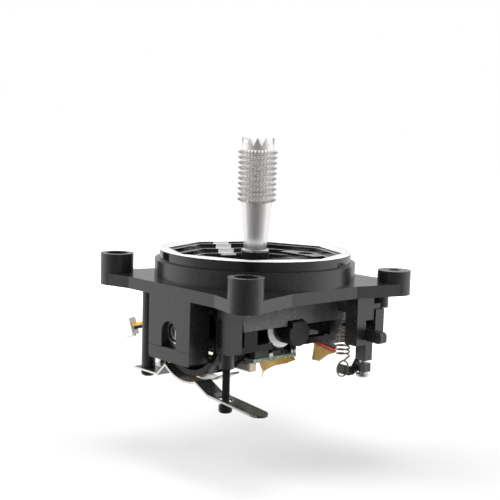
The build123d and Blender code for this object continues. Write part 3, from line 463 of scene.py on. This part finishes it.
MATERIALS = {
    "frame_plastic": plastic("frame_plastic", grey(0.009), grey(0.012), (0.25, 0.28), depth=0, specular=0.9),
    # Bezel: painted highlights on its upward faces and far left facets, painted dark on its other walls
    "bezel_metal": two_tone("bezel_metal", grey(0.006), grey(0.86), bezel_painted_light, (0.07, 0.1), 0.45),
    "dome_plastic": grained_plastic("dome_plastic"),
    "cradle_plastic": plastic("cradle_plastic", grey(0.005), grey(0.008), (0.25, 0.32), depth=0,
                              specular=0.35),
    "bright_aluminium": turned_metal("bright_aluminium", (0.92, 0.9, 0.89), 0.14),
    "spring_steel": metal("spring_steel", (0.55, 0.48, 0.42), 0.22),
    # Strap: painted highlights on its side edges; the second strap is pale all over
    "strap_steel": two_tone("strap_steel", grey(0.02), (0.85, 0.83, 0.8), strap_edge_highlight_and_second_strap, (0.18, 0.3)),
    "black_oxide": metal("black_oxide", (0.045, 0.045, 0.048), 0.35, grain=1800, tint=0.6, metallic=0.8),
    "shaft_steel": metal("shaft_steel", (0.78, 0.77, 0.76), 0.16),
    "white_plastic": plastic("white_plastic", (0.84, 0.83, 0.81), (0.9, 0.89, 0.87), (0.3, 0.4)),
    "magnet": metal("magnet", (0.6, 0.6, 0.6), 0.2),
    "board": board_material("board"),
    "chip_black": plastic("chip_black", grey(0.02), grey(0.035), (0.45, 0.6)),
    "socket_plastic": plastic("socket_plastic", (0.34, 0.29, 0.22), (0.42, 0.37, 0.29), (0.35, 0.5)),
    "lead_red": plastic("lead_red", (0.3, 0.012, 0.01), (0.42, 0.022, 0.016), (0.3, 0.42)),
    "lead_yellow": plastic("lead_yellow", (0.75, 0.42, 0.02), (0.85, 0.52, 0.03), (0.3, 0.42)),
    "lead_black": plastic("lead_black", grey(0.012), grey(0.02), (0.3, 0.42)),
}
FILM = film("amber_film")
KNURLED = metal("knurled_aluminium", (0.97, 0.95, 0.93), 0.24, depth=0.0005, tint=0.9, metallic=0.85)
SOLDER = metal("solder", (0.9, 0.9, 0.88), 0.35, metallic=0.3)
BEARING = bearing_material("bearing_steel")
OWN_MATERIALS = {"bearing_outer_rings": BEARING, "bearing_inner_rings": BEARING,
                 "magnet_holder": disc_material("magnet_disc")}


def dress_nodes():
    slots = {row["node"]: row["material_slot"] for row in frame["record"]["subparts"]}
    for name, node in nodes.items():
        node.data.materials.clear()
        node.data.materials.append(OWN_MATERIALS.get(name, MATERIALS[slots[name]]))


# Mesh helpers

def mesh_object(name, vertices, faces, material, smooth=False):
    """Mesh object of points in metres, in one material."""
    mesh = bpy.data.meshes.new(name)
    mesh.from_pydata(vertices, [], faces)
    mesh.update()
    made = bpy.data.objects.new(name, mesh)
    bpy.context.scene.collection.objects.link(made)
    mesh.materials.append(material)
    if smooth:
        mesh.polygons.foreach_set("use_smooth", [True] * len(mesh.polygons))
    return made


def finish_piece(piece, body, slot=None, *replaced):
    """Fixes a piece to a body and hides the CAD nodes it stands for. The slot is not used."""
    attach(piece, body)
    if replaced:
        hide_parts(*replaced)
    return piece


def ring_points(radius, z, count, turn=0.0):
    points = []
    for k in range(count):
        angle = 2 * math.pi * (k + turn) / count
        points.append(mm(radius * math.cos(angle), radius * math.sin(angle), z))
    return points


def knurl(vertices, faces, bottom, rows):
    """Rows of four-sided spikes round the axis, open at both ends. Returns the last ring's first index."""
    count = GRIP_COLUMNS
    base = len(vertices)
    vertices += ring_points(GRIP_ROOT, bottom, count)
    for row in range(rows):
        z = bottom + (row + 0.5) * GRIP_PITCH
        tips = len(vertices)
        vertices += ring_points(GRIP_OUTER, z, count, 0.5)
        upper = len(vertices)
        vertices += ring_points(GRIP_ROOT, bottom + (row + 1) * GRIP_PITCH, count)
        for k in range(count):
            n = (k + 1) % count
            tip = tips + k
            faces += [(base + k, base + n, tip), (base + n, upper + n, tip),
                      (upper + n, upper + k, tip), (upper + k, base + k, tip)]
        base = upper
    return base


def bore_and_end(vertices, faces, ring, radius, z, flip):
    """Joins a ring of the knurl to a ring of the bore."""
    count = GRIP_COLUMNS
    inner = len(vertices)
    vertices += ring_points(radius, z, count)
    for k in range(count):
        n = (k + 1) % count
        face = (ring + k, ring + n, inner + n, inner + k)
        faces.append(face[::-1] if flip else face)
    return inner


def lock_ring():
    """Short knurled ring, bored for the core."""
    vertices, faces = [], []
    top = knurl(vertices, faces, GRIP_BOTTOM, LOCK_ROWS)
    low = bore_and_end(vertices, faces, 0, CORE_CLEAR, GRIP_BOTTOM, True)
    high = bore_and_end(vertices, faces, top, CORE_CLEAR, GRIP_BOTTOM + LOCK_ROWS * GRIP_PITCH, False)
    for k in range(GRIP_COLUMNS):
        n = (k + 1) % GRIP_COLUMNS
        faces.append((low + k, low + n, high + n, high + k)[::-1])
    piece = mesh_object("lock_ring", vertices, faces, KNURLED)
    return finish_piece(piece, "stick", "bright_aluminium", "lock_grip")


def crown_height(x, y):
    """Height of the crown above its foot: V grooves right across, through the middle."""
    reach = CROWN_HEIGHT
    grooves = CROWN_TEETH // 2
    for n in range(grooves):
        angle = math.pi * n / grooves
        off = abs(-x * math.sin(angle) + y * math.cos(angle))
        reach = min(reach, CROWN_HEIGHT * CROWN_FLOOR + off * CROWN_SLOPE)
    return reach


def knurled_tip():
    """Knurled tip, bored from below and with a toothed crown on top."""
    bottom = GRIP_BOTTOM + LOCK_ROWS * GRIP_PITCH + GRIP_GAP
    vertices, faces = [], []
    top_ring = knurl(vertices, faces, bottom, TIP_ROWS)
    top = bottom + TIP_ROWS * GRIP_PITCH
    low = bore_and_end(vertices, faces, 0, CORE_CLEAR, bottom, True)
    roof = len(vertices)
    vertices += ring_points(CORE_CLEAR, top - BORE_ROOF, GRIP_COLUMNS)
    for k in range(GRIP_COLUMNS):
        n = (k + 1) % GRIP_COLUMNS
        faces.append((low + k, low + n, roof + n, roof + k)[::-1])
    faces.append([roof + k for k in range(GRIP_COLUMNS)][::-1])
    around = GRIP_COLUMNS * CROWN_FINENESS
    foot = len(vertices)
    vertices += ring_points(CROWN_RADIUS, top, around)
    for k in range(GRIP_COLUMNS):
        n = (k + 1) % GRIP_COLUMNS
        fan = [foot + (k * CROWN_FINENESS + j) % around for j in range(CROWN_FINENESS + 1)]
        faces.append([top_ring + k, top_ring + n] + fan[::-1])
    previous = foot
    for step in range(CROWN_RINGS):
        radius = CROWN_RADIUS * (1 - step / CROWN_RINGS)
        ring = len(vertices)
        for k in range(around):
            angle = 2 * math.pi * k / around
            x, y = radius * math.cos(angle), radius * math.sin(angle)
            vertices.append(mm(x, y, top + crown_height(x, y)))
        for k in range(around):
            n = (k + 1) % around
            faces.append((previous + k, previous + n, ring + n, ring + k))
        previous = ring
    centre = len(vertices)
    vertices.append(mm(0, 0, top + crown_height(0, 0)))
    for k in range(around):
        faces.append((previous + k, previous + (k + 1) % around, centre))
    piece = mesh_object("knurled_tip", vertices, faces, KNURLED)
    return finish_piece(piece, "tip", "bright_aluminium", "tip_grip")


# Spring, screw and small parts

# A tube's side direction shorter than this is taken anew
LEAST_SIDE = 0.1


def tube(name, path, radius, material, sides=8):
    """Round wire along a path of points in millimetres, closed at both ends."""
    points = [mm(*point) for point in path]
    vertices, faces = [], []
    side = Vector((0.0, 0.0, 1.0))
    for k, point in enumerate(points):
        along = (points[min(k + 1, len(points) - 1)] - points[max(k - 1, 0)]).normalized()
        side = side - along * side.dot(along)
        if side.length < LEAST_SIDE:
            side = along.orthogonal()
        side.normalize()
        other = along.cross(side)
        for j in range(sides):
            angle = 2 * math.pi * j / sides
            vertices.append(point + (side * math.cos(angle) + other * math.sin(angle)) * radius * MM)
    for k in range(len(points) - 1):
        for j in range(sides):
            n = (j + 1) % sides
            low, high = k * sides, (k + 1) * sides
            faces.append((low + j, low + n, high + n, high + j))
    last = (len(points) - 1) * sides
    faces.append([j for j in range(sides)][::-1])
    faces.append([last + j for j in range(sides)])
    return mesh_object(name, vertices, faces, material, True)


def centering_spring():
    """Ring, close coil and hook of one wire."""
    path = []
    for k in range(1, RING_STEPS + 1):
        turn = 2 * math.pi * k / RING_STEPS
        path.append((SPRING_X, SPRING_Y + RING_RADIUS * math.sin(turn),
                     RING_Z + RING_RADIUS * math.cos(turn)))
    path.append((SPRING_X + NECK_X, SPRING_Y, SPRING_LOW - NECK_DROP))
    for k in range(SPRING_TURNS * COIL_STEPS + 1):
        turn = 2 * math.pi * k / COIL_STEPS
        path.append((SPRING_X + SPRING_RADIUS * math.cos(turn), SPRING_Y + SPRING_RADIUS * math.sin(turn),
                     SPRING_LOW + SPRING_PITCH * k / COIL_STEPS))
    top = SPRING_LOW + SPRING_PITCH * SPRING_TURNS
    for k in range(1, HOOK_STEPS + 1):
        turn = math.pi * k / HOOK_STEPS
        path.append((SPRING_X + SPRING_RADIUS * math.cos(turn), SPRING_Y,
                     top + (HOOK_TOP - top) * math.sin(turn)))
    piece = tube("spring_wire", path, SPRING_WIRE / 2, MATERIALS["spring_steel"])
    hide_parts("centering_spring")
    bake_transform(piece)
    return piece


def stack(name, centre, rings, count, material, smooth=False):
    """Rings one above another round an upright axis, closed at both ends.

    Each ring is a height and a radius, or a function that gives the radius at an angle.
    """
    vertices, faces = [], []
    for z, radius in rings:
        for k in range(count):
            angle = 2 * math.pi * k / count
            r = radius(angle) if callable(radius) else radius
            vertices.append(mm(centre[0] + r * math.cos(angle), centre[1] + r * math.sin(angle), z))
    for ring in range(len(rings) - 1):
        for k in range(count):
            n = (k + 1) % count
            low, high = ring * count, (ring + 1) * count
            faces.append((low + k, low + n, high + n, high + k))
    last = (len(rings) - 1) * count
    faces.append([k for k in range(count)][::-1])
    faces.append([last + k for k in range(count)])
    return mesh_object(name, vertices, faces, material, smooth)


def hexagon(angle):
    """Radius of the key socket at an angle."""
    side = math.pi / 3
    return SOCKET_RADIUS / math.cos((angle % side) - side / 2)


def thread_at(z):
    """Radius of the thread round the screw at one height."""
    def radius(angle):
        phase = (z / THREAD_PITCH - angle / (2 * math.pi)) % 1.0
        return THREAD_ROOT + (THREAD_CREST - THREAD_ROOT) * (1 - abs(2 * phase - 1))
    return radius


def strap_screw():
    """Black socket-head screw with its thread, seen in full below the column."""
    low, wide = SCREW_HEAD_LOW, SCREW_HEAD_RADIUS
    rings = [(SOCKET_FLOOR, hexagon), (low + SOCKET_CHAMFER, hexagon), (low, SOCKET_MOUTH)]
    rings += [(low + height, wide - inset) for height, inset in HEAD_EDGE]
    rings += [(SCREW_HEAD_TOP, wide), (SCREW_HEAD_TOP, THREAD_CREST)]
    steps = round((SCREW_END - SCREW_HEAD_TOP) / THREAD_PITCH * RINGS_PER_PITCH)
    for k in range(1, steps):
        z = SCREW_HEAD_TOP + (SCREW_END - SCREW_HEAD_TOP) * k / steps
        rings.append((z, thread_at(z)))
    rings.append((SCREW_END, THREAD_ROOT))
    piece = stack("strap_screw", STRAP_SCREW, rings, SCREW_SIDES, MATERIALS["black_oxide"])
    return finish_piece(piece, "frame", "black_oxide", "strap_tension_screw")


def film_strip(name, upper, lower):
    """Thin film between two lines of points, closed all round, fixed to the cradle."""
    vertices, faces = [], []
    count = len(upper)
    for depth in (0, FILM_THICKNESS):
        for line in (upper, lower):
            vertices += [mm(x - depth, y, z) for x, y, z in line]
    for k in range(count - 1):
        faces.append((k, count + k, count + k + 1, k + 1))
        faces.append((2 * count + k, 2 * count + k + 1, 3 * count + k + 1, 3 * count + k))
        faces.append((k, k + 1, 2 * count + k + 1, 2 * count + k))
        faces.append((count + k, 3 * count + k, 3 * count + k + 1, count + k + 1))
    for k, outward in ((0, False), (count - 1, True)):
        face = (k, 2 * count + k, 3 * count + k, count + k)
        faces.append(face[::-1] if outward else face)
    return finish_piece(mesh_object(name, vertices, faces, FILM), "cradle")


def sleeve(name, path, radius, slot):
    """Short end of a lead beside the film, fixed to the cradle."""
    return finish_piece(tube(name, path, radius, MATERIALS[slot]), "cradle", slot)


def films():
    """Amber films: one folded down under the board's edge with a torn hook, one with two sleeves."""
    film_strip("board_film", [(FILM_TOP_X, y, FILM_TOP_Z) for y in FILM_TOP_Y], FILM_FOOT)
    film_strip("film_hook", HOOK_INNER, HOOK_OUTER)
    film_strip("rear_film", REAR_FILM_TOP, REAR_FILM_FOOT)
    sleeve("film_sleeve", RED_SLEEVE, RED_SLEEVE_RADIUS, "lead_red")
    sleeve("black_sleeve", BLACK_SLEEVE, BLACK_SLEEVE_RADIUS, "lead_black")


def connector_pins():
    """Row of contact springs on the socket's open side."""
    for k in range(PIN_COUNT):
        place = (PIN_FIRST_X + PIN_PITCH * k, PIN_Y)
        piece = stack("connector_pin_%d" % k, place, PIN_RINGS, PIN_SIDES, MATERIALS["shaft_steel"], True)
        finish_piece(piece, "cradle", "shaft_steel")


def solder_pads():
    """Tinned pads along the board's outer edge."""
    for k, y in enumerate(PAD_Y):
        piece = stack("solder_pad_%d" % k, (PAD_X, y), PAD_RINGS, PAD_SIDES, SOLDER, True)
        finish_piece(piece, "cradle")


# Leads

def route_curve(name, route, depth):
    """Smooth curve along a route: a bare line if depth is 0, else a round tube of that radius."""
    curve = bpy.data.curves.new(name, "CURVE")
    curve.dimensions = "3D"
    curve.resolution_u = LEAD_STEPS
    curve.bevel_depth = depth
    curve.bevel_resolution = LEAD_ROUNDNESS
    curve.use_fill_caps = depth > 0
    spline = curve.splines.new("NURBS")
    spline.points.add(len(route) - 1)
    for point, place in zip(spline.points, route):
        point.co = (*mm(*place), 1)
    spline.order_u = 3
    spline.use_endpoint_u = True
    made = bpy.data.objects.new(name, curve)
    bpy.context.scene.collection.objects.link(made)
    return made


def mesh_from(curve_object, name):
    """Turns a curve object into a mesh and removes the curve."""
    mesh = bpy.data.meshes.new_from_object(curve_object)
    mesh.name = name
    bpy.data.objects.remove(curve_object)
    return mesh


def lead(node, route):
    """A lead as a round tube along its route."""
    line = mesh_from(route_curve(node + "_line", route, 0), node + "_line")
    skin = mesh_from(route_curve(node + "_tube", route, LEAD_DIAMETER / 2 * MM), node + "_tube")
    piece = bpy.data.objects.new(node + "_wire", skin)
    bpy.context.scene.collection.objects.link(piece)
    skin.materials.clear()
    skin.materials.append(MATERIALS[node])
    skin.polygons.foreach_set("use_smooth", [True] * len(skin.polygons))
    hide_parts(node)
    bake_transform(piece)
    return piece


def leads():
    for node, (route, length) in LEADS.items():
        lead(node, route)


# Stage, lights and camera

# The floor lies below the part, as the photo shows it floating
FLOOR_Z = -45.0
FLOOR_HALF = 1.5
# Grey of the paper under the object
PAPER = 0.66
# Glow of the paper by distance from the middle, in metres: none near the object, so that its shadow shows
PAPER_GLOW = [(0.07, grey(0.0)), (0.3, grey(1.0))]
# World light on dull surfaces
FILL_LIGHT = 0.25
# Degrees from the camera's side to the darkest wall
DARK_WALL_TURN = -6.0
# Greys of the walls, from behind the object round to the camera's side
WALLS = [(0.0, grey(0.8)), (0.12, grey(0.95)), (0.52, grey(0.95)), (0.68, grey(0.5)), (0.82, grey(0.33)),
         (0.93, grey(0.2)), (1.0, grey(0.12))]
# Name, place, target, size and power of each light, in metres and watts
LIGHTS = [("left_light", (-0.35, -0.42, 0.22), (0, 0, -0.01), 0.4, 5.0),
          ("right_light", (0.42, 0.34, 0.2), (0, 0, -0.01), 0.4, 4.0),
          ("front_light", (0.45, -0.4, 0.35), (0, 0, 0), 0.3, 1.5),
          ("top_light", (0.05, -0.05, 0.55), (0, 0, 0), 0.3, 1.6)]


def studio_walls(tree, place):
    """What a mirror sees round the object: pale walls behind it and at its sides, dark ones in front."""
    level = tree.nodes.new("ShaderNodeVectorMath")
    level.operation = "MULTIPLY"
    level.inputs[1].default_value = (1, 1, 0)
    tree.links.new(place, level.inputs[0])
    unit = tree.nodes.new("ShaderNodeVectorMath")
    unit.operation = "NORMALIZE"
    tree.links.new(level.outputs["Vector"], unit.inputs[0])
    dot = tree.nodes.new("ShaderNodeVectorMath")
    dot.operation = "DOT_PRODUCT"
    turn = Matrix.Rotation(math.radians(DARK_WALL_TURN), 3, "Z")
    dot.inputs[1].default_value = turn @ Vector((CAMERA_BACK[0], CAMERA_BACK[1], 0)).normalized()
    tree.links.new(unit.outputs["Vector"], dot.inputs[0])
    return ramp(tree, math_node(tree, "MULTIPLY_ADD", dot.outputs["Value"], 0.5, 0.5), WALLS)


def light_path(tree, *names):
    """1 where the ray is of one of these kinds."""
    path = tree.nodes.new("ShaderNodeLightPath")
    total = path.outputs[names[0]]
    for name in names[1:]:
        total = math_node(tree, "MAXIMUM", total, path.outputs[name])
    return total


def floor():
    """White paper that keeps the object's shadow and turns into plain white further out."""
    corners = ((-1, -1), (1, -1), (1, 1), (-1, 1))
    vertices = [(x * FLOOR_HALF, y * FLOOR_HALF, FLOOR_Z * MM) for x, y in corners]
    material, tree, shader = new_material("floor_paper")
    shader.inputs["Roughness"].default_value = 0.9
    shader.inputs["Specular IOR Level"].default_value = 0.0
    place = tree.nodes.new("ShaderNodeNewGeometry")
    glossy = light_path(tree, "Is Glossy Ray")
    paper = blend_colour(tree, glossy, grey(PAPER), grey(0.0))
    tree.links.new(paper, shader.inputs["Base Color"])
    walls = studio_walls(tree, place.outputs["Position"])
    away = tree.nodes.new("ShaderNodeVectorMath")
    away.operation = "LENGTH"
    tree.links.new(place.outputs["Position"], away.inputs[0])
    glow = ramp(tree, away.outputs["Value"], PAPER_GLOW)
    seen = blend_colour(tree, glossy, glow, walls)
    tree.links.new(seen, shader.inputs["Emission Color"])
    tree.links.new(light_path(tree, "Is Camera Ray", "Is Glossy Ray", "Is Transmission Ray"),
                   shader.inputs["Emission Strength"])
    mesh_object("floor", vertices, [(0, 1, 2, 3)], material)


def area_light(name, place, target, size, power):
    """Square light that faces its target and that no mirror sees."""
    data = bpy.data.lights.new(name, "AREA")
    data.energy = power
    data.size = size
    made = bpy.data.objects.new(name, data)
    bpy.context.scene.collection.objects.link(made)
    made.visible_glossy = False
    made.location = place
    direction = Vector(target) - Vector(place)
    made.rotation_euler = direction.to_track_quat("-Z", "Y").to_euler()


def world():
    """White for the camera, the studio's walls for mirrors, soft light for the rest."""
    made = bpy.data.worlds.new("studio")
    bpy.context.scene.world = made
    made.use_nodes = True
    tree = made.node_tree
    back = tree.nodes["Background"]
    place = tree.nodes.new("ShaderNodeTexCoord")
    walls = studio_walls(tree, place.outputs["Generated"])
    seen = blend_colour(tree, light_path(tree, "Is Glossy Ray"), grey(1.0), walls)
    soft = light_path(tree, "Is Camera Ray", "Is Glossy Ray", "Is Transmission Ray")
    tree.links.new(blend_colour(tree, soft, grey(FILL_LIGHT), seen), back.inputs["Color"])


def camera():
    data = bpy.data.cameras.new("camera")
    data.lens = CAMERA_LENS
    data.sensor_width = SENSOR_WIDTH
    data.clip_start = CLIP_START
    data.clip_end = CLIP_END
    made = bpy.data.objects.new("camera", data)
    bpy.context.scene.collection.objects.link(made)
    axes = Matrix((CAMERA_RIGHT, CAMERA_UP, CAMERA_BACK)).transposed().to_4x4()
    made.matrix_world = Matrix.Translation(mm(*CAMERA_POSITION)) @ axes
    bpy.context.scene.camera = made


def studio():
    floor()
    world()
    for light in LIGHTS:
        area_light(*light)
    camera()


def main():
    bpy.context.scene.view_settings.view_transform = "Standard"
    dress_nodes()
    leads()
    lock_ring()
    knurled_tip()
    centering_spring()
    strap_screw()
    films()
    connector_pins()
    solder_pads()
    studio()


main()
